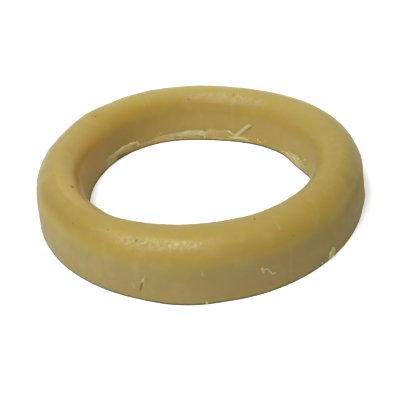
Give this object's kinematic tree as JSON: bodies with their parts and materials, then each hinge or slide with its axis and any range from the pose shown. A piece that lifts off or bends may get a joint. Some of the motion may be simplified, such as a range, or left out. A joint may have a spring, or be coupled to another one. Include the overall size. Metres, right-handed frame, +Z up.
{
  "type": "toilet pan wax seal",
  "caption": "Soft wax ring with drafted walls, a rounded crown and a flat foot, which seals a toilet pan to its drain.",
  "frame": {"origin": "centre of the flat foot, on the surface that the ring rests on", "axes": "+Z up along the bore from the flat foot to the rounded crown; -Y is the side nearest the viewer in the picture, +X is to its right"},
  "size_m": [0.1262, 0.1288, 0.0213],
  "materials": {
    "wax": "satin honey-coloured petrolatum wax, as cast"
  },
  "bodies": {
    "root": {"wax_ring": "wax"}
  },
  "joints": []
}
